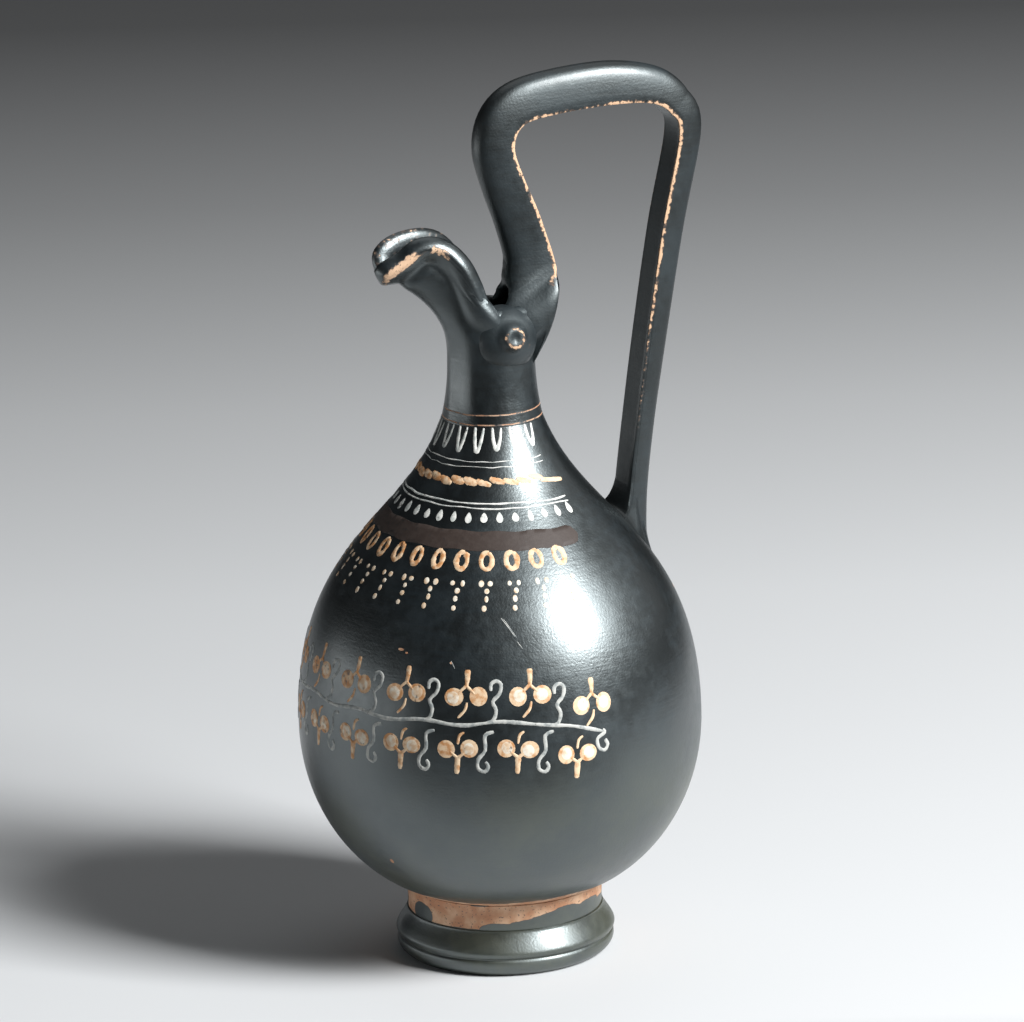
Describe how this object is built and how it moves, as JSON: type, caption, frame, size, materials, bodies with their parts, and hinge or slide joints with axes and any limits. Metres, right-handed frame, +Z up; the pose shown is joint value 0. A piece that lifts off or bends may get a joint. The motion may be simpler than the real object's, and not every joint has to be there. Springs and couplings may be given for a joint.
{
  "type": "oinochoe",
  "caption": "Black-gloss beaked jug with a round belly, slender neck, cut-away spout, high strap handle with rotelles, and a ring foot.",
  "frame": {"origin": "at the level that the foot rests on, midway between the front of the belly and the back of the handle; the belly's upright axis stands 4.4 mm from it towards the spout", "axes": "+Z up, the spout points to -Y, the handle stands at +Y, +X is the side that the picture shows nearer"},
  "size_m": [0.0966, 0.1054, 0.2146],
  "materials": {
    "foot_gloss": "black gloss over fired clay, with a bare clay stem",
    "body_gloss": "black gloss over fired clay",
    "handle_gloss": "black gloss, worn to the clay along its edges",
    "added_white": "matt cream and grey-white slip painted on the gloss",
    "added_orange": "matt orange-cream slip painted on the gloss",
    "added_brown": "matt purplish-brown slip painted on the gloss"
  },
  "bodies": {
    "root": {"foot": "foot_gloss", "body": "body_gloss", "neck": "body_gloss", "mouth": "body_gloss", "handle": "handle_gloss", "handle_wad": "handle_gloss", "rotelle_right": "handle_gloss", "rotelle_left": "handle_gloss"}
  },
  "joints": []
}
